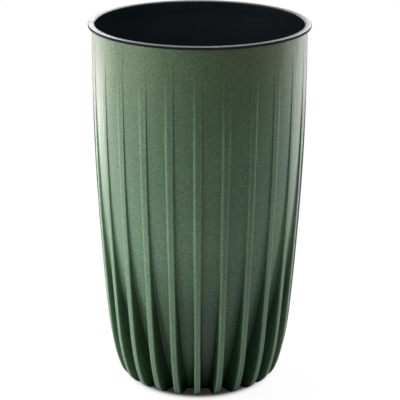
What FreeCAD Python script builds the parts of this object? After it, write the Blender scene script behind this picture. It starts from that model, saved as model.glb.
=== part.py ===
import FreeCAD, Part
import math
import os

import Sketcher
from FreeCAD import Vector, Placement, Rotation

# Tall round planter: a finned outer pot, a liner that hangs in it by its rim, and a drain plug in its floor.
# Millimetres. Origin at the centre of the foot, on the ground; +Z up; one fin points along -Y, the front.

doc = FreeCAD.newDocument("flower_pot")

# ---------------------------------------------------------------- driving dimensions
sheet = doc.addObject("Spreadsheet::Sheet", "Dimensions")
dim = {}


def cell(alias, value, note=""):
    row = len(dim) + 1
    sheet.set("A%d" % row, alias)
    sheet.set("B%d" % row, repr(value))
    sheet.setAlias("B%d" % row, alias)
    if note:
        sheet.set("C%d" % row, note)
    dim[alias] = float(value)


def poles(tag, points):
    for i, (r, z) in enumerate(points):
        cell("%s_rad_%d" % (tag, i), r, "pole %d of the %s curve" % (i, tag))
        cell("%s_height_%d" % (tag, i), z)


cell("fin_count", 24, "fins round the pot")
cell("pot_top", 496.5, "top edge of the outer pot")
cell("wall", 2.6, "moulded wall thickness")
cell("body_radius", 145.0, "plain band under the rim")
cell("top_edge_chamfer", 0.9, "broken top outer edge")
cell("chamfer_start", 495.3)
cell("over_top", 498.0, "where cutting profiles clear the top")
cell("under_foot", 2.0)
cell("trim_radius", 175.0, "where the outside trim clears the fins")

cell("fin_in", 40.0, "inner end of the fin block, buried in the core")
cell("fin_out", 160.0, "outer end of the fin block before trimming")
cell("fin_half_in_low", 5.27, "half width of the block at the foot, inner end")
cell("fin_half_out_low", 3.17)
cell("fin_half_in_high", 7.64, "half width of the block at the top, inner end")
cell("fin_half_out_high", 5.54)

cell("floor_top", 8.0, "inside of the outer pot's floor")
cell("floor_under", 5.0, "underside of the floor above the ground")
cell("recess_radius", 71.5, "inside of the foot ring")
cell("drain_radius", 10.0, "drain hole in the floor")

cell("core_width", 3.6, "width of the hollow inside each fin")
cell("core_step_rad", 81.0)
cell("core_low", 4.2, "lowest point of the fin hollow")
cell("core_toe_rad", 98.5)
cell("core_open_low", 9.0)
cell("core_open_rad", 70.0)
cell("core_open_high_rad", 134.0)
cell("core_open_high", 352.0)

# Curves of the outer pot in the plane of the axis, as control points.
poles("toe", [(95.0, 0.0), (100.37, 0.0), (108.21, 6.84), (111.72, 16.0)])
poles("crest", [(111.72, 16.0), (121.79, 42.31), (128.51, 98.66), (135.53, 188.64),
                (141.4, 279.11), (144.58, 369.44), (145.0, 429.86), (145.0, 460.0)])
poles("valley", [(74.63, 0.0), (83.31, 20.0), (98.88, 56.0), (112.62, 104.0), (126.14, 160.0),
                 (137.57, 255.0), (142.82, 360.0), (144.81, 430.0), (145.08, 496.5)])
poles("inside", [(75.79, 8.0), (85.0, 30.0), (99.77, 68.0), (113.55, 118.0), (126.2, 180.0),
                 (136.3, 270.0), (141.5, 390.0), (143.1, 484.0)])
poles("hollow", [(106.3, 11.0), (120.3, 44.81), (127.45, 116.36), (135.44, 222.84),
                 (139.35, 294.37), (140.48, 330.0)])

cell("rim_top", 500.0, "top of the liner's rim")
cell("rim_radius", 150.0, "outside of the liner's rim")
cell("rim_under_edge", 0.5, "rounding of the rim's lower edge")
cell("rim_over_edge", 1.2, "rounding of the rim's upper outer edge")
cell("mouth_edge", 1.2, "rounding from the rim into the mouth")
cell("collar_radius", 142.5, "outside of the liner's collar")
cell("collar_low", 482.0, "lower end of the collar")
cell("liner_wall", 1.5, "liner wall thickness")
cell("liner_foot_radius", 117.0, "outside of the liner wall above its foot")
cell("liner_foot_corner", 198.5)
cell("liner_corner", 9.0, "rounding at the liner's foot")
cell("liner_corner_in", 7.0)
cell("liner_low", 190.0, "underside of the liner")
cell("liner_floor", 2.4, "thickness of the liner's floor")
cell("liner_flat_radius", 108.0)
cell("liner_gutter_radius", 64.0, "where the floor starts to rise to the middle")
cell("liner_rise", 6.0, "rise of the floor to the middle")
cell("liner_hub_radius", 18.0)
cell("liner_hole_count", 8)
cell("liner_hole_radius", 5.0)
cell("liner_hole_circle", 84.0)

cell("plug_gap", 0.08, "radial clearance of the plug in the drain hole")
cell("plug_low", 2.6, "lower end of the plug, clear of the ground")
cell("plug_lead", 1.6, "taper at the lower end")
cell("plug_lead_in", 1.2)
cell("plug_flange_radius", 16.0)
cell("plug_flange", 2.4)
cell("plug_flange_round", 1.0)
cell("plug_stem_radius", 4.0)
cell("plug_stem", 5.0, "free height under the grip")
cell("plug_grip_radius", 8.0)
cell("plug_grip", 4.0)
cell("plug_grip_round", 1.5)

doc.recompute()


# ---------------------------------------------------------------- sketch helpers
def term(*names):
    """A coordinate as a sum of sheet cells: its value now and the expression that keeps it."""
    value, text = 0.0, ""
    for name in names:
        if name.startswith("-"):
            value -= dim[name[1:]]
            text += (" - " if text else "-") + "Dimensions." + name[1:]
        else:
            value += dim[name]
            text += (" + " if text else "") + "Dimensions." + name
    return value, text


def plane(body, role):
    return [o for o in body.Origin.OriginFeatures if o.Role == role][0]


def hold(sk, geo, pos, point, tag):
    """Fix a sketch point by two sheet-driven distances from the origin, or to an axis where the term is None."""
    for axis, t in zip("XY", point):
        if t is None:
            sk.addConstraint(Sketcher.Constraint("PointOnObject", geo, pos, -2 if axis == "X" else -1))
            continue
        n = sk.addConstraint(Sketcher.Constraint("Distance" + axis, -1, 1, geo, pos, t[0]))
        name = "%s_%s" % (tag, axis.lower())
        sk.renameConstraint(n, name)
        sk.setExpression("Constraints." + name, t[1])


def at(point):
    return Vector(point[0][0] if point[0] else 0.0, point[1][0] if point[1] else 0.0, 0)


def arc_between(p, q, radius, left):
    """Arc of the given radius from p to q; left turns anticlockwise."""
    mid = (p + q) * 0.5
    chord = q - p
    half = chord.Length / 2.0
    rise = math.sqrt(max(radius * radius - half * half, 0.0))
    normal = Vector(-chord.y, chord.x, 0).normalize()
    centre = mid + normal * (rise if left else -rise)
    a = math.atan2(p.y - centre.y, p.x - centre.x)
    b = math.atan2(q.y - centre.y, q.x - centre.x)
    if not left:
        a, b = b, a
    return Part.ArcOfCircle(Part.Circle(centre, Vector(0, 0, 1), radius), a, b)


def profile(body, name, role, points, edges=None, lift=None):
    """Closed sketch through points. edges[i] shapes the side from point i to the next: nothing for a line,
    ("arc", radius alias, turns left) or ("curve", [inner poles])."""
    edges = edges or {}
    sk = body.newObject("Sketcher::SketchObject", name)
    sk.AttachmentSupport = [(plane(body, role), "")]
    sk.MapMode = "FlatFace"
    if lift:
        sk.AttachmentOffset = Placement(Vector(0, 0, lift[0]), Rotation())
        sk.setExpression("AttachmentOffset.Base.z", lift[1])
    n = len(points)
    ids, ends, later = [], [], []
    for i in range(n):
        p, q = at(points[i]), at(points[(i + 1) % n])
        kind = edges.get(i)
        if kind is None:
            g = sk.addGeometry(Part.LineSegment(p, q), False)
            ends.append((1, 2))
        elif kind[0] == "arc":
            g = sk.addGeometry(arc_between(p, q, dim[kind[1]], kind[2]), False)
            ends.append((1, 2) if kind[2] else (2, 1))
            later.append(("arc", g, kind[1]))
        else:
            line = [p] + [at(k) for k in kind[1]] + [q]
            g = sk.addGeometry(Part.BSplineCurve(line, None, None, False, 3, None, False), False)
            sk.exposeInternalGeometry(g)
            ends.append((1, 2))
            later.append(("curve", g, kind[1]))
        ids.append(g)
    for i in range(n):
        j = (i + 1) % n
        sk.addConstraint(Sketcher.Constraint("Coincident", ids[i], ends[i][1], ids[j], ends[j][0]))
    for i in range(n):
        hold(sk, ids[i], ends[i][0], points[i], "point%d" % i)
    for kind, g, data in later:
        if kind == "arc":
            c = sk.addConstraint(Sketcher.Constraint("Radius", g, dim[data]))
            sk.renameConstraint(c, "arc%d" % g)
            sk.setExpression("Constraints.arc%d" % g, "Dimensions." + data)
        else:
            for k, pole in enumerate(data):
                hold(sk, g + 2 + k, 3, pole, "curve%d_pole%d" % (g, k + 1))
    return sk


def circles(body, name, role, spots, lift=None):
    """Sketch of circles: each spot is (centre x term or None, centre y term or None, radius term)."""
    sk = body.newObject("Sketcher::SketchObject", name)
    sk.AttachmentSupport = [(plane(body, role), "")]
    sk.MapMode = "FlatFace"
    if lift:
        sk.AttachmentOffset = Placement(Vector(0, 0, lift[0]), Rotation())
        sk.setExpression("AttachmentOffset.Base.z", lift[1])
    for i, (x, y, r) in enumerate(spots):
        g = sk.addGeometry(Part.Circle(at((x, y)), Vector(0, 0, 1), r[0]), False)
        if x is None and y is None:
            sk.addConstraint(Sketcher.Constraint("Coincident", g, 3, -1, 1))
        else:
            hold(sk, g, 3, (x, y), "spot%d" % i)
        c = sk.addConstraint(Sketcher.Constraint("Radius", g, r[0]))
        sk.renameConstraint(c, "radius%d" % i)
        sk.setExpression("Constraints.radius%d" % i, r[1])
    return sk


def spun(body, kind, name, sk):
    f = body.newObject("PartDesign::" + kind, name)
    f.Profile = sk
    f.ReferenceAxis = (sk, ["V_Axis"])
    f.Angle = 360.0
    f.Refine = False
    done(body, f)
    return f


def ringed(body, name, feature, count):
    f = body.newObject("PartDesign::PolarPattern", name)
    f.Originals = [feature]
    f.Axis = (plane(body, "Z_Axis"), [""])
    f.Angle = 360.0
    f.Occurrences = int(dim[count])
    f.setExpression("Occurrences", "Dimensions." + count)
    f.Refine = False
    done(body, f)
    return f


volumes = {}


def done(body, feature):
    """Recompute, make the feature the tip, and refuse one that failed or changed nothing."""
    body.Tip = feature
    doc.recompute()
    if any(s in ("Invalid", "Error") for s in feature.State) or feature.Shape.isNull():
        raise RuntimeError("%s failed: %s" % (feature.Name, feature.State))
    before = volumes.get(body.Name, 0.0)
    now = feature.Shape.Volume
    if abs(now - before) < 1.0:
        raise RuntimeError("%s changed nothing" % feature.Name)
    volumes[body.Name] = now
    print("%-22s %12.1f -> %12.1f mm3" % (feature.Name, before, now))


def curve(tag, first=1, last=None):
    """Inner control points of a named curve."""
    count = sum(1 for k in dim if k.startswith(tag + "_rad_"))
    stop = count - 1 if last is None else last
    return [(term("%s_rad_%d" % (tag, i)), term("%s_height_%d" % (tag, i))) for i in range(first, stop)]


def end(tag, i):
    r = "%s_rad_%d" % (tag, i)
    z = "%s_height_%d" % (tag, i)
    return (term(r), term(z) if dim[z] != 0.0 else None)


# ---------------------------------------------------------------- outer pot
pot = doc.addObject("PartDesign::Body", "outer_pot")
pot.Label = "outer_pot"

# Solid core whose outside is the wall between the fins.
core = profile(pot, "core_profile", "XZ_Plane",
               [(None, None), end("valley", 0), end("valley", 8), (None, term("pot_top"))],
               {1: ("curve", curve("valley"))})
spun(pot, "Revolution", "core", core)

# One fin block, narrower at the foot and slightly narrower outwards, then the ring of fins.
fin_low = profile(pot, "fin_low", "XY_Plane",
                  [(term("fin_in"), term("-fin_half_in_low")), (term("fin_out"), term("-fin_half_out_low")),
                   (term("fin_out"), term("fin_half_out_low")), (term("fin_in"), term("fin_half_in_low"))])
fin_high = profile(pot, "fin_high", "XY_Plane",
                   [(term("fin_in"), term("-fin_half_in_high")), (term("fin_out"), term("-fin_half_out_high")),
                    (term("fin_out"), term("fin_half_out_high")), (term("fin_in"), term("fin_half_in_high"))],
                   lift=term("pot_top"))
doc.recompute()
fin = pot.newObject("PartDesign::AdditiveLoft", "fin")
fin.Profile = fin_low
fin.Sections = [fin_high]
fin.Ruled = True
fin.Refine = False
done(pot, fin)
ringed(pot, "fins", fin, "fin_count")

# Outside trim: rounded fin feet, the fins' crest line, the plain band and the broken top edge.
trim = profile(pot, "crest_profile", "XZ_Plane",
               [end("toe", 0), end("crest", 0), end("crest", 7), (term("body_radius"), term("chamfer_start")),
                (term("body_radius", "-top_edge_chamfer"), term("pot_top")),
                (term("body_radius", "-top_edge_chamfer"), term("over_top")),
                (term("trim_radius"), term("over_top")), (term("trim_radius"), term("-under_foot")),
                (term("toe_rad_0"), term("-under_foot"))],
               {0: ("curve", curve("toe")), 1: ("curve", curve("crest"))})
spun(pot, "Groove", "crest_trim", trim)

# Inside of the pot.
cavity = profile(pot, "cavity_profile", "XZ_Plane",
                 [(None, term("floor_top")), end("inside", 0), end("inside", 7),
                  (term("inside_rad_7"), term("over_top")), (None, term("over_top"))],
                 {1: ("curve", curve("inside"))})
spun(pot, "Groove", "cavity", cavity)

# Each fin is cored from inside, as a moulding of even wall is.
hollow = profile(pot, "fin_hollow_profile", "XZ_Plane",
                 [end("hollow", 0), end("hollow", 5), (term("core_open_high_rad"), term("core_open_high")),
                  (term("core_open_rad"), term("core_open_low")), (term("core_step_rad"), term("core_open_low")),
                  (term("core_step_rad"), term("core_low")), (term("core_toe_rad"), term("core_low"))],
                 {0: ("curve", curve("hollow"))})
doc.recompute()
slot = pot.newObject("PartDesign::Pocket", "fin_hollow")
slot.Profile = hollow
slot.Type = "Length"
slot.SideType = "Symmetric"
slot.Length = dim["core_width"]
slot.setExpression("Length", "Dimensions.core_width")
slot.Refine = False
done(pot, slot)
ringed(pot, "fin_hollows", slot, "fin_count")

# Recess under the floor, which leaves a foot ring, and the drain hole.
recess_sk = circles(pot, "recess_profile", "XY_Plane", [(None, None, term("recess_radius"))])
doc.recompute()
recess = pot.newObject("PartDesign::Pocket", "recess")
recess.Profile = recess_sk
recess.Type = "Length"
recess.Reversed = True
recess.Length = dim["floor_under"]
recess.setExpression("Length", "Dimensions.floor_under")
recess.Refine = False
done(pot, recess)

drain_sk = circles(pot, "drain_profile", "XY_Plane", [(None, None, term("drain_radius"))])
doc.recompute()
drain = pot.newObject("PartDesign::Pocket", "drain")
drain.Profile = drain_sk
drain.Type = "Length"
drain.Reversed = True
drain.Length = dim["core_open_low"]
drain.setExpression("Length", "Dimensions.core_open_low")
drain.Refine = False
done(pot, drain)

# ---------------------------------------------------------------- liner
liner = doc.addObject("PartDesign::Body", "liner")
liner.Label = "liner"

wall = profile(liner, "liner_profile", "XZ_Plane", [
    (None, term("liner_low", "liner_rise")),                                            # 0 middle of the underside
    (term("liner_hub_radius"), term("liner_low", "liner_rise")),                        # 1
    (term("liner_gutter_radius"), term("liner_low")),                                   # 2
    (term("liner_flat_radius"), term("liner_low")),                                     # 3 start of the foot corner
    (term("liner_foot_radius"), term("liner_foot_corner")),                             # 4
    (term("collar_radius"), term("collar_low")),                                        # 5 collar
    (term("collar_radius"), term("pot_top")),                                           # 6 under the rim
    (term("rim_radius", "-rim_under_edge"), term("pot_top")),                           # 7
    (term("rim_radius"), term("pot_top", "rim_under_edge")),                            # 8
    (term("rim_radius"), term("rim_top", "-rim_over_edge")),                            # 9
    (term("rim_radius", "-rim_over_edge"), term("rim_top")),                            # 10
    (term("collar_radius", "-liner_wall", "mouth_edge"), term("rim_top")),              # 11
    (term("collar_radius", "-liner_wall"), term("rim_top", "-mouth_edge")),             # 12 mouth
    (term("collar_radius", "-liner_wall"), term("collar_low")),                         # 13
    (term("liner_foot_radius", "-liner_wall"), term("liner_foot_corner")),              # 14
    (term("liner_flat_radius", "-liner_wall", "liner_wall"), term("liner_low", "liner_floor")),  # 15
    (term("liner_gutter_radius"), term("liner_low", "liner_floor")),                    # 16
    (term("liner_hub_radius"), term("liner_low", "liner_rise", "liner_floor")),         # 17
    (None, term("liner_low", "liner_rise", "liner_floor")),                             # 18
], {3: ("arc", "liner_corner", True), 7: ("arc", "rim_under_edge", True), 9: ("arc", "rim_over_edge", True),
    11: ("arc", "mouth_edge", True), 14: ("arc", "liner_corner_in", False)})
spun(liner, "Revolution", "liner_shell", wall)

holes_sk = circles(liner, "liner_hole_profile", "XY_Plane",
                   [(term("liner_hole_circle"), None, term("liner_hole_radius"))], lift=term("liner_low", "-under_foot"))
doc.recompute()
hole = liner.newObject("PartDesign::Pocket", "liner_hole")
hole.Profile = holes_sk
hole.Type = "Length"
hole.Reversed = True
hole.Length = dim["liner_corner"]
hole.setExpression("Length", "Dimensions.liner_corner")
hole.Refine = False
done(liner, hole)
ringed(liner, "liner_holes", hole, "liner_hole_count")

# ---------------------------------------------------------------- drain plug
plug = doc.addObject("PartDesign::Body", "drain_plug")
plug.Label = "drain_plug"
shank = ("drain_radius", "-plug_gap")
seat = ("floor_top",)
flange = seat + ("plug_flange",)
grip = flange + ("plug_stem",)
crown = grip + ("plug_grip",)
stopper = profile(plug, "plug_profile", "XZ_Plane", [
    (None, term("plug_low")),
    (term(*shank, "-plug_lead_in"), term("plug_low")),
    (term(*shank), term("plug_low", "plug_lead")),
    (term(*shank), term(*seat)),
    (term("plug_flange_radius"), term(*seat)),
    (term("plug_flange_radius"), term(*flange, "-plug_flange_round")),
    (term("plug_flange_radius", "-plug_flange_round"), term(*flange)),
    (term("plug_stem_radius"), term(*flange)),
    (term("plug_stem_radius"), term(*grip)),
    (term("plug_grip_radius", "-plug_grip_round"), term(*grip)),
    (term("plug_grip_radius"), term(*grip, "plug_grip_round")),
    (term("plug_grip_radius"), term(*crown, "-plug_grip_round")),
    (term("plug_grip_radius", "-plug_grip_round"), term(*crown)),
    (None, term(*crown)),
], {5: ("arc", "plug_flange_round", True), 9: ("arc", "plug_grip_round", True), 11: ("arc", "plug_grip_round", True)})
spun(plug, "Revolution", "stopper", stopper)

# ---------------------------------------------------------------- checks and files
doc.recompute()
for obj in doc.Objects:
    if any(s in ("Invalid", "Error") for s in obj.State):
        raise RuntimeError("%s is %s" % (obj.Name, obj.State))
    if obj.TypeId == "Sketcher::SketchObject" and obj.solve() != 0:
        raise RuntimeError("sketch %s has no solution" % obj.Name)

os.makedirs("parts", exist_ok=True)
pieces = [pot, liner, plug]
for body in pieces:
    shape = body.Shape
    if shape.isNull() or not shape.isValid() or len(shape.Solids) != 1:
        raise RuntimeError("%s is not one valid solid" % body.Label)
for body in pieces:
    body.Placement = Placement()
    body.Shape.exportStep("parts/%s.step" % body.Label)
    box = body.Shape.BoundBox
    print("%-12s %8.1f cm3  x %.1f..%.1f  y %.1f..%.1f  z %.1f..%.1f" % (
        body.Label, body.Shape.Volume / 1000.0, box.XMin, box.XMax, box.YMin, box.YMax, box.ZMin, box.ZMax))
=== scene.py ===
import math

import bmesh
import bpy
import numpy as np
from mathutils import Euler, Matrix, Vector


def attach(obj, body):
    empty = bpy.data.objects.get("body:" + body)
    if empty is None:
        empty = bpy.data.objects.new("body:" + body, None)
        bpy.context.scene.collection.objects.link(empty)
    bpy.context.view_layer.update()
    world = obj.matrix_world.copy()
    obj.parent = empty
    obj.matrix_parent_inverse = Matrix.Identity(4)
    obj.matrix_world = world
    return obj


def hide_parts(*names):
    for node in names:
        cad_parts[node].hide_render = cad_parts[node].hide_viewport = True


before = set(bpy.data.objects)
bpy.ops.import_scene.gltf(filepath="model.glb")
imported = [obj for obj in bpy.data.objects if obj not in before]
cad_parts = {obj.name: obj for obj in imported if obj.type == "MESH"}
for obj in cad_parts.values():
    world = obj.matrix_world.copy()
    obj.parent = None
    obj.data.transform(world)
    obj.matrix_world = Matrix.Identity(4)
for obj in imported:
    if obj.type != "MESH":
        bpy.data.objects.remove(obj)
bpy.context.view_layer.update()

scene = bpy.context.scene
MM = 0.001

# ------------------------------------------------------------------ curves of the pot, in millimetres
FINS = 24
TOP = 496.5
BAND = 145.0

TOE = [(95.0, 0.0), (100.37, 0.0), (108.21, 6.84), (111.72, 16.0)]
CREST = [(111.72, 16.0), (121.79, 42.31), (128.51, 98.66), (135.53, 188.64),
         (141.4, 279.11), (144.58, 369.44), (145.0, 429.86), (145.0, 460.0)]
VALLEY = [(74.63, 0.0), (83.31, 20.0), (98.88, 56.0), (112.62, 104.0), (126.14, 160.0),
          (137.57, 255.0), (142.82, 360.0), (144.81, 430.0), (145.08, 496.5)]
INSIDE = [(75.79, 8.0), (85.0, 30.0), (99.77, 68.0), (113.55, 118.0), (126.2, 180.0),
          (136.3, 270.0), (141.5, 390.0), (143.1, 484.0)]
HOLLOW = [(106.3, 11.0), (120.3, 44.81), (127.45, 116.36), (135.44, 222.84),
          (139.35, 294.37), (140.48, 330.0)]


def spline(poles, count=400, degree=3):
    """Points of a clamped uniform B-spline."""
    p = np.array(poles, float)
    n = len(p)
    knots = np.concatenate([np.zeros(degree), np.linspace(0, 1, n - degree + 1), np.ones(degree)])
    out = []
    for u in np.linspace(0, 1, count):
        k = min(max(int(np.searchsorted(knots, u, side="right")) - 1, degree), n - 1)
        d = [p[j + k - degree].copy() for j in range(degree + 1)]
        for r in range(1, degree + 1):
            for j in range(degree, r - 1, -1):
                lo, hi = knots[j + k - degree], knots[j + 1 + k - r]
                a = 0.0 if hi == lo else (u - lo) / (hi - lo)
                d[j] = (1 - a) * d[j - 1] + a * d[j]
        out.append(d[degree])
    return np.array(out)


def radius_at(curve):
    return lambda z: float(np.interp(z, curve[:, 1], curve[:, 0]))


toe = spline(TOE, 60)
crest = np.vstack([toe[:-1], spline(CREST), [[BAND, TOP]]])
crest_at = radius_at(crest)
valley_at = radius_at(spline(VALLEY))
inside_at = radius_at(np.vstack([spline(INSIDE), [[143.1, TOP]]]))
hollow_low = radius_at(spline(HOLLOW))


def hollow_at(z):
    """Outer end of the hollow behind each fin: it closes in a slope at the top and the foot."""
    if z < 11.0:
        return 98.5 + (z - 4.2) * 7.8 / 6.8
    if z < 330.0:
        return hollow_low(z)
    return 140.48 - (z - 330.0) * 6.48 / 22.0


def fin_half(r, z):
    """Half width of a fin at a radius and height: narrower at the foot and slightly narrower outwards."""
    s = (r - 40.0) / 120.0
    low = 5.27 + (3.17 - 5.27) * s
    high = 7.64 + (5.54 - 7.64) * s
    return low + (high - low) * z / TOP


# ------------------------------------------------------------------ rings of the pot
def half_profile(outer, inner, half_out, half_in, edge, root):
    """Half of one sector from the middle of a fin to the middle of a valley, as points in the fin's own axes."""
    depth = max(outer - inner, 0.0)
    edge_x, root_x = min(edge, 0.45 * depth), min(root, 0.45 * depth)
    pts = []
    for s in (0.0, 0.5, 1.0):
        y = s * (half_out - edge)
        pts.append((math.sqrt(outer * outer - y * y), y))
    cx, cy = pts[-1][0] - edge_x, half_out - edge
    for a in (30, 60, 90):
        a = math.radians(a)
        pts.append((cx + edge_x * math.cos(a), cy + edge * math.sin(a)))
    ry = half_in + root
    rx = math.sqrt(inner * inner - ry * ry)
    top, low = pts[-1], (rx + root_x, half_in)
    for s in (1 / 3, 2 / 3):
        pts.append((top[0] + (low[0] - top[0]) * s, top[1] + (low[1] - top[1]) * s))
    for a in (0, 30, 60, 90):
        a = math.radians(a)
        pts.append((rx + root_x - root_x * math.sin(a), ry - root * math.cos(a)))
    start = math.atan2(ry, rx)
    stop = math.pi / FINS
    for s in (0.14, 0.32, 0.54, 0.77, 1.0):
        a = start + (stop - start) * s
        pts.append((inner * math.cos(a), inner * math.sin(a)))
    return pts


# painted shade and highlight at each point of the half profile, from the crest over the side to the valley: it stands
# in for how much of the light gets there
PAINTED_SHADE_AND_HIGHLIGHT_ACROSS = [1.19, 1.19, 1.17, 1.15, 1.05, 0.82, 0.47, 0.38, 0.34, 0.34, 0.40, 0.50, 0.60, 0.68, 0.72, 0.75, 0.76]


def painted_shade_and_highlight(z):
    """Painted shade and highlight of a ring's points: none where the fins are flush, full where they are deep."""
    depth = crest_at(z) - min(valley_at(z), crest_at(z))
    k = min(max((depth - 1.5) / 11.0, 0.0), 1.0)
    half = [1 + (v - 1) * k for v in PAINTED_SHADE_AND_HIGHLIGHT_ACROSS]
    # painted highlight: the crest edges are made up to 1.4 times brighter where the fins stand out
    edge_highlight = min(max((depth - 0.1) / 1.0, 0.0), 1.0)
    for i in (2, 3, 4):
        half[i] *= 1 + 0.4 * edge_highlight
    # painted shade: the toes darken under their curve
    under = min(z / 9.0, 1.0)
    half = [v * (0.45 + 0.55 * under * under * (3 - 2 * under)) for v in half]
    return np.tile(half[:0:-1] + half[:-1], FINS)


def full_ring(half, z):
    """All sectors of a ring, as x, y, z in millimetres. A fin points along -Y."""
    sector = [(x, -y) for x, y in reversed(half[1:])] + [(x, y) for x, y in half[:-1]]
    sector = np.array(sector)
    rings = []
    for k in range(FINS):
        a = -math.pi / 2 + 2 * math.pi * k / FINS
        c, s = math.cos(a), math.sin(a)
        rings.append(np.stack([sector[:, 0] * c - sector[:, 1] * s,
                               sector[:, 0] * s + sector[:, 1] * c,
                               np.full(len(sector), z)], 1))
    return np.vstack(rings)


EDGE, ROOT = 1.5, 1.8


def outer_ring(z, inset=0.0, lift=None):
    ro, ri = crest_at(z), min(valley_at(z), crest_at(z))
    half = half_profile(ro - inset, ri - inset, fin_half(ro, z) - inset, fin_half(ri, z) - inset, EDGE, ROOT)
    return full_ring(half, z if lift is None else lift)


def inner_ring(z, closed=False, lift=None):
    ri = inside_at(z)
    rh = ri if closed else max(hollow_at(z), ri)
    return full_ring(half_profile(rh, ri, 1.8, 1.8, 0.5, 0.7), z if lift is None else lift)


def round_ring(r, z, like):
    """A circle whose points stand at the angles of another ring."""
    a = np.arctan2(like[:, 1], like[:, 0])
    return np.stack([r * np.cos(a), r * np.sin(a), np.full(len(a), z)], 1)


def mesh_from_rings(name, rings, wrap):
    """Quads between neighbouring rings of equal count; wrap joins the last ring to the first."""
    n = len(rings[0])
    verts = np.vstack(rings) * MM
    faces = []
    last = len(rings) if wrap else len(rings) - 1
    idx = np.arange(n)
    nxt = np.roll(idx, -1)
    for i in range(last):
        a, b = i * n, ((i + 1) % len(rings)) * n
        faces.append(np.stack([a + idx, a + nxt, b + nxt, b + idx], 1))
    faces = np.vstack(faces)
    me = bpy.data.meshes.new(name)
    me.from_pydata(verts.tolist(), [], faces.tolist())
    bm = bmesh.new()
    bm.from_mesh(me)
    bmesh.ops.recalc_face_normals(bm, faces=bm.faces)
    bm.to_mesh(me)
    bm.free()
    me.polygons.foreach_set("use_smooth", [True] * len(me.polygons))
    me.set_sharp_from_angle(angle=math.radians(42))
    me.update()
    ob = bpy.data.objects.new(name, me)
    scene.collection.objects.link(ob)
    return ob


def build_pot():
    rings, shade = [], {}
    foot = outer_ring(0.0)
    # underside: drain hole, recessed floor, foot ring
    for r, z in ((10.0, 5.4), (10.4, 5.0), (30.0, 5.0), (70.7, 5.0), (71.3, 4.8), (71.5, 4.2), (71.5, 0.5), (71.9, 0.0)):
        rings.append(round_ring(r, z, foot))
    # rounded lower edges of the fins and the ring
    for a in (0, 35, 65):
        a = math.radians(a)
        z = 0.7 * (1 - math.cos(a))
        shade[len(rings)] = painted_shade_and_highlight(z)
        rings.append(outer_ring(z, inset=0.7 * (1 - math.sin(a))))
    # fins and wall
    levels = [z for z in toe[8::6, 1] if z > 0.75]
    levels += list(np.linspace(16.0, 60.0, 13)[1:]) + list(np.linspace(60.0, 486.0, 86)[1:])
    for z in sorted(levels):
        shade[len(rings)] = painted_shade_and_highlight(z)
        rings.append(outer_ring(z))
    band = rings[-1]
    for r, z in ((BAND, 490.0), (BAND, 495.3), (144.9, 495.8), (144.6, 496.3), (144.2, 496.5), (143.7, 496.5),
                 (143.32, 496.35), (143.15, 495.9)):
        rings.append(round_ring(r, z, band))
    # inside
    for z in list(np.linspace(484.0, 346.0, 24)) + list(np.linspace(341.0, 60.0, 60)) + list(np.linspace(56.0, 9.0, 12)):
        rings.append(inner_ring(z))
    rings.append(inner_ring(8.9, closed=True))
    floor = rings[-1]
    for r, z in ((75.4, 8.4), (74.6, 8.1), (73.6, 8.0), (45.0, 8.0), (18.0, 8.0), (10.5, 8.0), (10.1, 7.8), (10.0, 7.4)):
        rings.append(round_ring(r, z, floor))
    ob = mesh_from_rings("outer_pot_shell", rings, wrap=True)
    plain = np.ones(len(foot))
    values = np.concatenate([shade.get(i, plain) for i in range(len(rings))]).astype(np.float32)
    ob.data.attributes.new("painted_shade_and_highlight", "FLOAT", "POINT").data.foreach_set("value", values)
    return ob


# ------------------------------------------------------------------ liner
def arc(cx, cz, r, a0, a1, n):
    return [(cx + r * math.cos(math.radians(a0 + (a1 - a0) * i / n)),
             cz + r * math.sin(math.radians(a0 + (a1 - a0) * i / n))) for i in range(n + 1)]


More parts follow.
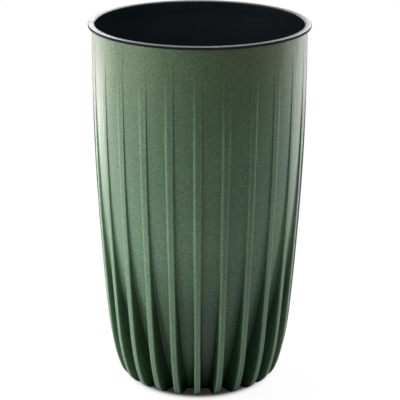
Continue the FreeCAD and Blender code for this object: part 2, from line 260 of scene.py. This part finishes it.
def build_liner():
    prof = []
    prof += [(1.2, 196.0), (10.0, 196.0), (18.0, 196.0), (41.0, 193.0), (64.0, 190.0), (76.0, 190.0), (92.0, 190.0), (104.0, 190.0)]
    prof += arc(108.0, 199.0, 9.0, -90, -4, 8)
    low, high = (117.2, 201.0), (142.5, 482.0)
    prof += [(low[0] + (high[0] - low[0]) * s, low[1] + (high[1] - low[1]) * s) for s in np.linspace(0, 1, 22)]
    prof += [(142.5, 484.0), (142.5, 490.0), (142.5, 496.1), (142.9, 496.5), (145.0, 496.5)]
    prof += arc(149.5, 497.0, 0.5, -90, 0, 4)
    prof += arc(148.8, 498.8, 1.2, 0, 90, 8)
    prof += [(145.5, 500.0), (143.9, 500.0)]
    prof += arc(142.2, 498.8, 1.2, 90, 180, 7)
    prof += [(141.0, 496.0), (141.0, 490.0), (141.0, 484.0), (141.0, 482.0)]
    low, high = (115.7, 201.0), (141.0, 481.0)
    prof += [(high[0] + (low[0] - high[0]) * s, high[1] + (low[1] - high[1]) * s) for s in np.linspace(0.01, 1, 22)]
    prof += arc(108.0, 199.9, 7.5, -4, -90, 8)
    prof += [(104.0, 192.4), (92.0, 192.4), (76.0, 192.4), (64.0, 192.4), (41.0, 195.4), (18.0, 198.4), (10.0, 198.4), (1.2, 198.4)]
    n = 288
    ang = np.linspace(0, 2 * math.pi, n, endpoint=False)
    rings = [np.stack([r * np.cos(ang), r * np.sin(ang), np.full(n, z)], 1) for r, z in prof]
    ob = mesh_from_rings("liner_insert", rings, wrap=False)
    bm = bmesh.new()
    bm.from_mesh(ob.data)
    bmesh.ops.holes_fill(bm, edges=[e for e in bm.edges if e.is_boundary], sides=0)
    bmesh.ops.recalc_face_normals(bm, faces=bm.faces)
    bm.to_mesh(ob.data)
    bm.free()
    # drain holes through the flat ring of the floor
    for k in range(8):
        a = 2 * math.pi * k / 8
        me = bpy.data.meshes.new("drill")
        bm = bmesh.new()
        bmesh.ops.create_cone(bm, cap_ends=True, segments=40, radius1=0.005, radius2=0.005, depth=0.02)
        bm.to_mesh(me)
        bm.free()
        drill = bpy.data.objects.new("drill", me)
        drill.location = (0.084 * math.cos(a), 0.084 * math.sin(a), 0.1912)
        scene.collection.objects.link(drill)
        bpy.context.view_layer.update()
        mod = ob.modifiers.new("hole", "BOOLEAN")
        mod.operation, mod.solver, mod.object = "DIFFERENCE", "EXACT", drill
        dg = bpy.context.evaluated_depsgraph_get()
        cut = bpy.data.meshes.new_from_object(ob.evaluated_get(dg))
        ob.modifiers.clear()
        ob.data = cut
        bpy.data.objects.remove(drill)
    ob.data.polygons.foreach_set("use_smooth", [True] * len(ob.data.polygons))
    ob.data.set_sharp_from_angle(angle=math.radians(32))
    return ob


# ------------------------------------------------------------------ drain plug
def build_plug():
    n = 96
    ang = np.linspace(0, 2 * math.pi, n, endpoint=False)
    prof = [(0.8, 2.6, 0), (4.0, 2.6, 0), (8.3, 2.6, 0), (8.72, 2.7, 0), (9.92, 4.2, 0), (9.92, 6.0, 0), (9.92, 7.9, 0), (10.3, 8.0, 0),
            (15.4, 8.0, 0), (15.9, 8.15, 0), (16.0, 8.6, 0), (16.0, 9.5, 0), (15.8, 10.05, 0), (15.3, 10.35, 0), (14.6, 10.4, 0), (12.0, 10.4, 0),
            (7.0, 10.4, 0), (5.2, 10.55, 0), (4.3, 11.1, 0), (4.0, 12.0, 0), (4.0, 14.2, 0), (4.4, 15.0, 0), (5.4, 15.35, 0), (6.6, 15.4, 0.1),
            (7.4, 15.7, 0.3), (7.85, 16.3, 0.45), (8.0, 17.2, 0.5), (7.85, 18.3, 0.45), (7.4, 18.95, 0.3), (6.5, 19.35, 0.1), (4.5, 19.4, 0), (0.8, 19.4, 0)]
    rings = []
    for r, z, wave in prof:
        rr = r - wave * (0.5 + 0.5 * np.cos(ang * 16))
        rings.append(np.stack([rr * np.cos(ang), rr * np.sin(ang), np.full(n, z)], 1))
    ob = mesh_from_rings("drain_plug_rubber", rings, wrap=False)
    bm = bmesh.new()
    bm.from_mesh(ob.data)
    bmesh.ops.holes_fill(bm, edges=[e for e in bm.edges if e.is_boundary], sides=0)
    bmesh.ops.recalc_face_normals(bm, faces=bm.faces)
    bm.to_mesh(ob.data)
    bm.free()
    ob.data.polygons.foreach_set("use_smooth", [True] * len(ob.data.polygons))
    ob.data.set_sharp_from_angle(angle=math.radians(50))
    return ob


# ------------------------------------------------------------------ materials
def new_material(name):
    m = bpy.data.materials.new(name)
    m.use_nodes = True
    nt = m.node_tree
    nt.nodes.clear()
    out = nt.nodes.new("ShaderNodeOutputMaterial")
    bsdf = nt.nodes.new("ShaderNodeBsdfPrincipled")
    nt.links.new(bsdf.outputs["BSDF"], out.inputs["Surface"])
    coord = nt.nodes.new("ShaderNodeTexCoord")
    return m, nt, bsdf, coord


def noise(nt, coord, scale, detail=2.0, rough=0.5, stretch=None):
    src = coord.outputs["Object"]
    if stretch:
        mp = nt.nodes.new("ShaderNodeMapping")
        mp.inputs["Scale"].default_value = stretch
        nt.links.new(src, mp.inputs["Vector"])
        src = mp.outputs["Vector"]
    n = nt.nodes.new("ShaderNodeTexNoise")
    n.inputs["Scale"].default_value = scale
    n.inputs["Detail"].default_value = detail
    n.inputs["Roughness"].default_value = rough
    nt.links.new(src, n.inputs["Vector"])
    return n.outputs["Fac"]


def ramp(nt, fac, stops):
    r = nt.nodes.new("ShaderNodeValToRGB")
    el = r.color_ramp.elements
    while len(el) < len(stops):
        el.new(0.5)
    for e, (p, c) in zip(el, stops):
        e.position = p
        e.color = (c, c, c, 1) if isinstance(c, float) else (*c, 1)
    nt.links.new(fac, r.inputs["Fac"])
    return r.outputs["Color"]


def mix(nt, fac, a, b, kind="MIX"):
    m = nt.nodes.new("ShaderNodeMix")
    m.data_type = "RGBA"
    m.blend_type = kind
    for sock, v in ((m.inputs[0], fac), (m.inputs[6], a), (m.inputs[7], b)):
        if isinstance(v, (int, float)):
            sock.default_value = v
        elif isinstance(v, tuple):
            sock.default_value = (*v, 1)
        else:
            nt.links.new(v, sock)
    return m.outputs[2]


def green_material():
    m, nt, bsdf, coord = new_material("wood_fibre_plastic")
    cloud = noise(nt, coord, 9.0, 3.0, 0.55)
    col = mix(nt, ramp(nt, cloud, [(0.35, 0.0), (0.68, 1.0)]), (0.0812, 0.1535, 0.0810), (0.0900, 0.1697, 0.0898))
    grain = noise(nt, coord, 440.0, 3.0, 0.6)
    speck = ramp(nt, grain, [(0.30, 0.80), (0.50, 0.96), (0.68, 1.44)])
    col = mix(nt, 1.0, col, speck, "MULTIPLY")
    fleck = noise(nt, coord, 430.0, 1.0, 0.5)
    col = mix(nt, ramp(nt, fleck, [(0.64, 0.0), (0.73, 0.5)]), col, (0.180, 0.215, 0.135))
    dark = noise(nt, coord, 380.0, 1.0, 0.5)
    col = mix(nt, ramp(nt, dark, [(0.25, 0.2), (0.33, 0.0)]), col, (0.034, 0.058, 0.033))
    # painted light by height: brighter in the lower half than at mid-height, standing in for how the light falls; also
    # warmer towards the rim and cooler towards the foot
    split = nt.nodes.new("ShaderNodeSeparateXYZ")
    nt.links.new(coord.outputs["Object"], split.inputs[0])
    tint = ramp(nt, split.outputs["Z"], [(0.12, (1.24, 1.27, 1.33)), (0.22, (1.34, 1.35, 1.43)), (0.30, (1.17, 1.20, 1.24)), (0.39, (1.03, 1.04, 1.03)), (0.46, (1.22, 1.04, 1.01))])
    col = mix(nt, 1.0, col, tint, "MULTIPLY")
    # painted shade and highlight kept on the mesh: darker fin sides, valleys and toes, brighter crests and edges
    depth = nt.nodes.new("ShaderNodeAttribute")
    depth.attribute_name = "painted_shade_and_highlight"
    col = mix(nt, 1.0, col, depth.outputs["Color"], "MULTIPLY")
    # painted shade is deeper green in the valleys, painted highlight is greyer on the crests and edges
    span = nt.nodes.new("ShaderNodeMapRange")
    span.inputs["From Min"].default_value = 0.5
    span.inputs["From Max"].default_value = 1.7
    nt.links.new(depth.outputs["Fac"], span.inputs["Value"])
    hue = ramp(nt, span.outputs["Result"], [(0.0, (0.93, 1.09, 0.98)), (0.21, (0.96, 1.06, 0.99)), (0.417, (1.0, 1.0, 1.0)), (0.575, (1.0, 0.97, 0.99)), (1.0, (1.0, 0.92, 0.98))])
    col = mix(nt, 1.0, col, hue, "MULTIPLY")
    nt.links.new(col, bsdf.inputs["Base Color"])
    rough = ramp(nt, grain, [(0.3, 0.27), (0.7, 0.35)])
    nt.links.new(rough, bsdf.inputs["Roughness"])
    bump = nt.nodes.new("ShaderNodeBump")
    bump.inputs["Strength"].default_value = 0.12
    bump.inputs["Distance"].default_value = 0.0004
    nt.links.new(grain, bump.inputs["Height"])
    nt.links.new(bump.outputs["Normal"], bsdf.inputs["Normal"])
    bsdf.inputs["IOR"].default_value = 1.5
    bsdf.inputs["Specular IOR Level"].default_value = 0.5
    return m


def black_material():
    m, nt, bsdf, coord = new_material("liner_plastic")
    cloud = noise(nt, coord, 14.0, 3.0, 0.55)
    col = mix(nt, ramp(nt, cloud, [(0.35, 0.0), (0.7, 1.0)]), (0.0088, 0.0115, 0.0140), (0.0118, 0.0150, 0.0182))
    nt.links.new(col, bsdf.inputs["Base Color"])
    wipe = noise(nt, coord, 60.0, 4.0, 0.6, stretch=(1.0, 1.0, 0.25))
    nt.links.new(ramp(nt, wipe, [(0.3, 0.16), (0.72, 0.27)]), bsdf.inputs["Roughness"])
    grain = noise(nt, coord, 1400.0, 1.0, 0.5)
    bump = nt.nodes.new("ShaderNodeBump")
    bump.inputs["Strength"].default_value = 0.04
    bump.inputs["Distance"].default_value = 0.0002
    nt.links.new(grain, bump.inputs["Height"])
    nt.links.new(bump.outputs["Normal"], bsdf.inputs["Normal"])
    bsdf.inputs["IOR"].default_value = 1.5
    bsdf.inputs["Specular IOR Level"].default_value = 0.2
    return m


def rubber_material():
    m, nt, bsdf, coord = new_material("plug_rubber")
    cloud = noise(nt, coord, 120.0, 3.0, 0.6)
    col = mix(nt, ramp(nt, cloud, [(0.3, 0.0), (0.7, 1.0)]), (0.016, 0.016, 0.016), (0.030, 0.030, 0.029))
    nt.links.new(col, bsdf.inputs["Base Color"])
    nt.links.new(ramp(nt, cloud, [(0.3, 0.62), (0.7, 0.8)]), bsdf.inputs["Roughness"])
    bump = nt.nodes.new("ShaderNodeBump")
    bump.inputs["Strength"].default_value = 0.1
    bump.inputs["Distance"].default_value = 0.0002
    nt.links.new(noise(nt, coord, 1600.0, 2.0, 0.5), bump.inputs["Height"])
    nt.links.new(bump.outputs["Normal"], bsdf.inputs["Normal"])
    return m


# ------------------------------------------------------------------ pieces on their bodies
pot = build_pot()
pot.data.materials.append(green_material())
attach(pot, "outer_pot")
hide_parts("outer_pot")

liner = build_liner()
liner.data.materials.clear()
liner.data.materials.append(black_material())
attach(liner, "liner")
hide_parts("liner")

plug = build_plug()
plug.data.materials.append(rubber_material())
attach(plug, "drain_plug")
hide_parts("drain_plug")

# ------------------------------------------------------------------ stage
me = bpy.data.meshes.new("floor")
bm = bmesh.new()
bmesh.ops.create_grid(bm, x_segments=8, y_segments=8, size=12.0)
bm.to_mesh(me)
bm.free()
floor = bpy.data.objects.new("floor", me)
scene.collection.objects.link(floor)
# the paper throws back less light on the pot than it shows
BOUNCE = 2.2
fm, fnt, fb, fc = new_material("floor_paper")
paper = mix(fnt, ramp(fnt, noise(fnt, fc, 3.0, 2.0), [(0.3, 0.0), (0.7, 1.0)]), (0.92, 0.92, 0.92), (0.93, 0.93, 0.93))
# painted contact shadow: a dark oval on the floor under the pot and between its feet, not a traced shadow
reach = fnt.nodes.new("ShaderNodeVectorMath")
reach.operation = "LENGTH"
fnt.links.new(fc.outputs["Object"], reach.inputs[0])
oval = fnt.nodes.new("ShaderNodeMapping")
oval.inputs["Scale"].default_value = (1.1, 1.0, 1.0)
fnt.links.new(fc.outputs["Object"], oval.inputs["Vector"])
under_pot = fnt.nodes.new("ShaderNodeVectorMath")
under_pot.operation = "LENGTH"
fnt.links.new(oval.outputs["Vector"], under_pot.inputs[0])
painted_contact_shadow = ramp(fnt, under_pot.outputs["Value"], [(0.092, 0.02), (0.0975, 0.06), (0.1005, 0.19), (0.1035, 0.50), (0.107, 0.82), (0.111, 0.95), (0.116, 1.0)])
paper = mix(fnt, 1.0, paper, painted_contact_shadow, "MULTIPLY")
dull = mix(fnt, 1.0, paper, (1 / BOUNCE, 1 / BOUNCE, 1 / BOUNCE), "MULTIPLY")
seen = fnt.nodes.new("ShaderNodeLightPath")
fnt.links.new(mix(fnt, seen.outputs["Is Camera Ray"], dull, paper), fb.inputs["Base Color"])
fb.inputs["Roughness"].default_value = 0.9
fb.inputs["Specular IOR Level"].default_value = 0.1
# seen from the camera the paper glows white, fading in from 0.93 near the pot to full further off, and carries the
# painted contact shadow in its glow
away = fnt.nodes.new("ShaderNodeMapRange")
away.interpolation_type = "SMOOTHSTEP"
away.inputs["From Min"].default_value = 0.55
away.inputs["From Max"].default_value = 1.3
away.inputs["To Min"].default_value = 0.93
fnt.links.new(reach.outputs["Value"], away.inputs["Value"])
both = fnt.nodes.new("ShaderNodeMath")
both.operation = "MULTIPLY"
fnt.links.new(away.outputs["Result"], both.inputs[0])
fnt.links.new(seen.outputs["Is Camera Ray"], both.inputs[1])
backdrop = fnt.nodes.new("ShaderNodeEmission")
backdrop.inputs["Strength"].default_value = 1.0
fnt.links.new(painted_contact_shadow, backdrop.inputs["Color"])
fade = fnt.nodes.new("ShaderNodeMixShader")
fnt.links.new(both.outputs[0], fade.inputs[0])
fnt.links.new(fb.outputs[0], fade.inputs[1])
fnt.links.new(backdrop.outputs[0], fade.inputs[2])
fnt.links.new(fade.outputs[0], [n for n in fnt.nodes if n.type == "OUTPUT_MATERIAL"][0].inputs["Surface"])
fm.cycles.emission_sampling = "NONE"
me.materials.append(fm)


def lit_group(name, *obs):
    """A group of objects that a lamp can be kept to."""
    c = bpy.data.collections.new(name)
    for ob in obs:
        c.objects.link(ob)
    return c


for_pot = lit_group("for_pot", pot, plug)
for_liner = lit_group("for_liner", liner)
for_floor = lit_group("for_floor", floor)
cast_on_pot = lit_group("cast_on_pot", pot, plug, floor)


def softbox(name, group, spot, aim, width, height, energy, colour=(1.0, 1.0, 1.0)):
    data = bpy.data.lights.new(name, "AREA")
    data.shape = "RECTANGLE"
    data.size, data.size_y = width, height
    data.energy = energy
    data.color = colour
    ob = bpy.data.objects.new(name, data)
    ob.location = spot
    ob.rotation_euler = (Vector(aim) - Vector(spot)).to_track_quat("-Z", "Y").to_euler()
    ob.visible_camera = False
    scene.collection.objects.link(ob)
    ob.light_linking.receiver_collection = group
    if group is for_pot:
        ob.light_linking.blocker_collection = cast_on_pot
    return ob


# high window-like boxes on the left, a weaker one on the right, and low strips behind for the edges
softbox("left", for_pot, (-1.2, 0.0, 1.0), (0, 0, 0.35), 0.8, 0.7, 13.27)
softbox("left_front", for_pot, (-1.1, -0.55, 1.0), (0, 0, 0.35), 0.8, 0.7, 7.31)
softbox("left_front_low", for_pot, (-1.1, -0.55, 0.3), (0, 0, 0.3), 0.8, 0.55, 0.91)
softbox("left_back_low", for_pot, (-1.2, 0.55, 0.3), (0, 0, 0.3), 0.8, 0.55, 2.37, (1.0, 0.93, 0.98))
softbox("left_far_back_low", for_pot, (-0.9, 1.1, 0.3), (0, 0, 0.3), 0.8, 0.55, 1.79, (1.0, 0.9, 0.96))
softbox("right", for_pot, (1.2, 0.0, 1.0), (0, 0, 0.35), 0.8, 0.7, 0.53)
softbox("right_low", for_pot, (1.2, 0.0, 0.3), (0, 0, 0.3), 0.8, 0.55, 0.31)
softbox("right_back", for_pot, (1.2, 0.55, 1.0), (0, 0, 0.35), 0.8, 0.7, 6.68)
softbox("right_front", for_pot, (1.1, -0.55, 1.0), (0, 0, 0.35), 0.8, 0.7, 0.90)
softbox("right_back_low", for_pot, (1.2, 0.55, 0.3), (0, 0, 0.3), 0.8, 0.55, 1.76)
softbox("right_far_back_low", for_pot, (0.9, 1.1, 0.3), (0, 0, 0.3), 0.8, 0.55, 1.99)

# boxes that show in the liner's rim, and fills for its inside
softbox("rim_back", for_liner, (0.0, 1.6, 1.0), (0, 0, 0.5), 1.6, 0.6, 3.7, (0.96, 1.0, 1.02))
softbox("rim_left", for_liner, (-0.5, 1.6, 1.0), (0, 0, 0.5), 0.6, 0.6, 3.6, (0.96, 1.0, 1.02))
softbox("rim_right", for_liner, (0.5, 1.6, 1.0), (0, 0, 0.5), 0.6, 0.6, 3.4, (0.96, 1.0, 1.02))
softbox("liner_fill", for_liner, (-0.9, -0.9, 1.6), (0, 0.1, 0.45), 1.2, 0.8, 16.5)
softbox("liner_fill_right", for_liner, (0.9, -0.9, 1.6), (0, 0.1, 0.45), 1.2, 0.8, 11.0)
softbox("liner_over", for_liner, (0.0, 0.25, 1.9), (0, 0, 0.2), 0.5, 0.5, 14.0)

# light on the floor: the sweep behind the pot and pools beside it
softbox("sweep", for_floor, (0.0, 3.2, 2.6), (0, 3.2, 0), 5.0, 3.0, 39.90 * BOUNCE)
softbox("pool_left", for_floor, (-1.1, 0.0, 1.0), (-1.1, 0.0, 0), 0.8, 0.8, 16.19 * BOUNCE, (1.0, 0.95, 0.98))
softbox("pool_right", for_floor, (1.1, 0.0, 1.0), (1.1, 0.0, 0), 0.8, 0.8, 3.17 * BOUNCE)
softbox("pool_back_left", for_floor, (-0.7, 0.9, 1.0), (-0.7, 0.9, 0), 0.8, 0.8, 3.32 * BOUNCE, (1.0, 0.9, 0.95))
softbox("pool_back_right", for_floor, (0.7, 0.9, 1.0), (0.7, 0.9, 0), 0.8, 0.8, 7.69 * BOUNCE)
softbox("glow_left", for_floor, (-1.02, 0.92, 0.35), (-1.02, 0.92, 0), 0.4, 0.4, 8.22 * BOUNCE, (1.0, 0.86, 0.95))
softbox("glow_right", for_floor, (0.92, 0.8, 0.35), (0.92, 0.8, 0), 0.4, 0.4, 2.47 * BOUNCE)
softbox("pool_front_left", for_floor, (-0.7, -0.8, 1.0), (-0.7, -0.8, 0), 0.8, 0.8, 1.07 * BOUNCE)
softbox("pool_front_right", for_floor, (0.7, -0.8, 1.0), (0.7, -0.8, 0), 0.8, 0.8, 1.86 * BOUNCE)

world = bpy.data.worlds.new("studio")
scene.world = world
world.use_nodes = True
wt = world.node_tree
wt.nodes.clear()
wout = wt.nodes.new("ShaderNodeOutputWorld")
light_bg = wt.nodes.new("ShaderNodeBackground")
white_bg = wt.nodes.new("ShaderNodeBackground")
white_bg.inputs["Color"].default_value = (1, 1, 1, 1)
white_bg.inputs["Strength"].default_value = 1.0
path = wt.nodes.new("ShaderNodeLightPath")
choose = wt.nodes.new("ShaderNodeMixShader")
wt.links.new(path.outputs["Is Camera Ray"], choose.inputs[0])
wt.links.new(light_bg.outputs[0], choose.inputs[1])
wt.links.new(white_bg.outputs[0], choose.inputs[2])
wt.links.new(choose.outputs[0], wout.inputs["Surface"])
direction = wt.nodes.new("ShaderNodeTexCoord")
split = wt.nodes.new("ShaderNodeSeparateXYZ")
wt.links.new(direction.outputs["Generated"], split.inputs[0])


def side_ramp(axis, lo, hi, c0, c1):
    """Radiance that changes from c0 to c1 while the direction's axis goes from lo to hi."""
    r = wt.nodes.new("ShaderNodeMapRange")
    r.interpolation_type = "SMOOTHSTEP"
    for k, v in (("From Min", lo), ("From Max", hi), ("To Min", c0), ("To Max", c1)):
        r.inputs[k].default_value = v
    wt.links.new(split.outputs[axis], r.inputs["Value"])
    return r.outputs["Result"]


def calc(kind, a, b):
    n = wt.nodes.new("ShaderNodeMath")
    n.operation = kind
    wt.links.new(a, n.inputs[0])
    wt.links.new(b, n.inputs[1])
    return n.outputs[0]


# a low bright wall on the left, a weaker one on the right, the rest of the studio dark
left = side_ramp("X", -0.84, -0.68, 2.0, 0.0)
right = side_ramp("X", 0.68, 0.84, 0.0, 0.66)
low = side_ramp("Z", 0.36, 0.48, 1.0, 0.0)
wt.links.new(calc("MULTIPLY", calc("MAXIMUM", left, right), low), light_bg.inputs["Strength"])

scene.view_settings.view_transform = "Standard"
scene.view_settings.look = "None"
scene.view_settings.exposure = 0.0
scene.view_settings.gamma = 1.0

# ------------------------------------------------------------------ camera
SWING = math.radians(0.7)
TILT = math.radians(90.0 - 17.66 + 0.063)
ROLL = math.radians(0.22)
cam_data = bpy.data.cameras.new("camera")
cam_data.sensor_width = 36.0
cam_data.lens = 36.0 * 1899.0 / 400.0
cam_data.clip_end = 100.0
cam = bpy.data.objects.new("camera", cam_data)
cam.location = (2.5 * math.sin(SWING), -2.5 * math.cos(SWING), 1.043)
turn = Euler((TILT, 0.0, SWING - math.radians(0.0285))).to_matrix() @ Matrix.Rotation(ROLL, 3, "Z")
cam.rotation_euler = turn.to_euler()
scene.collection.objects.link(cam)
scene.camera = cam
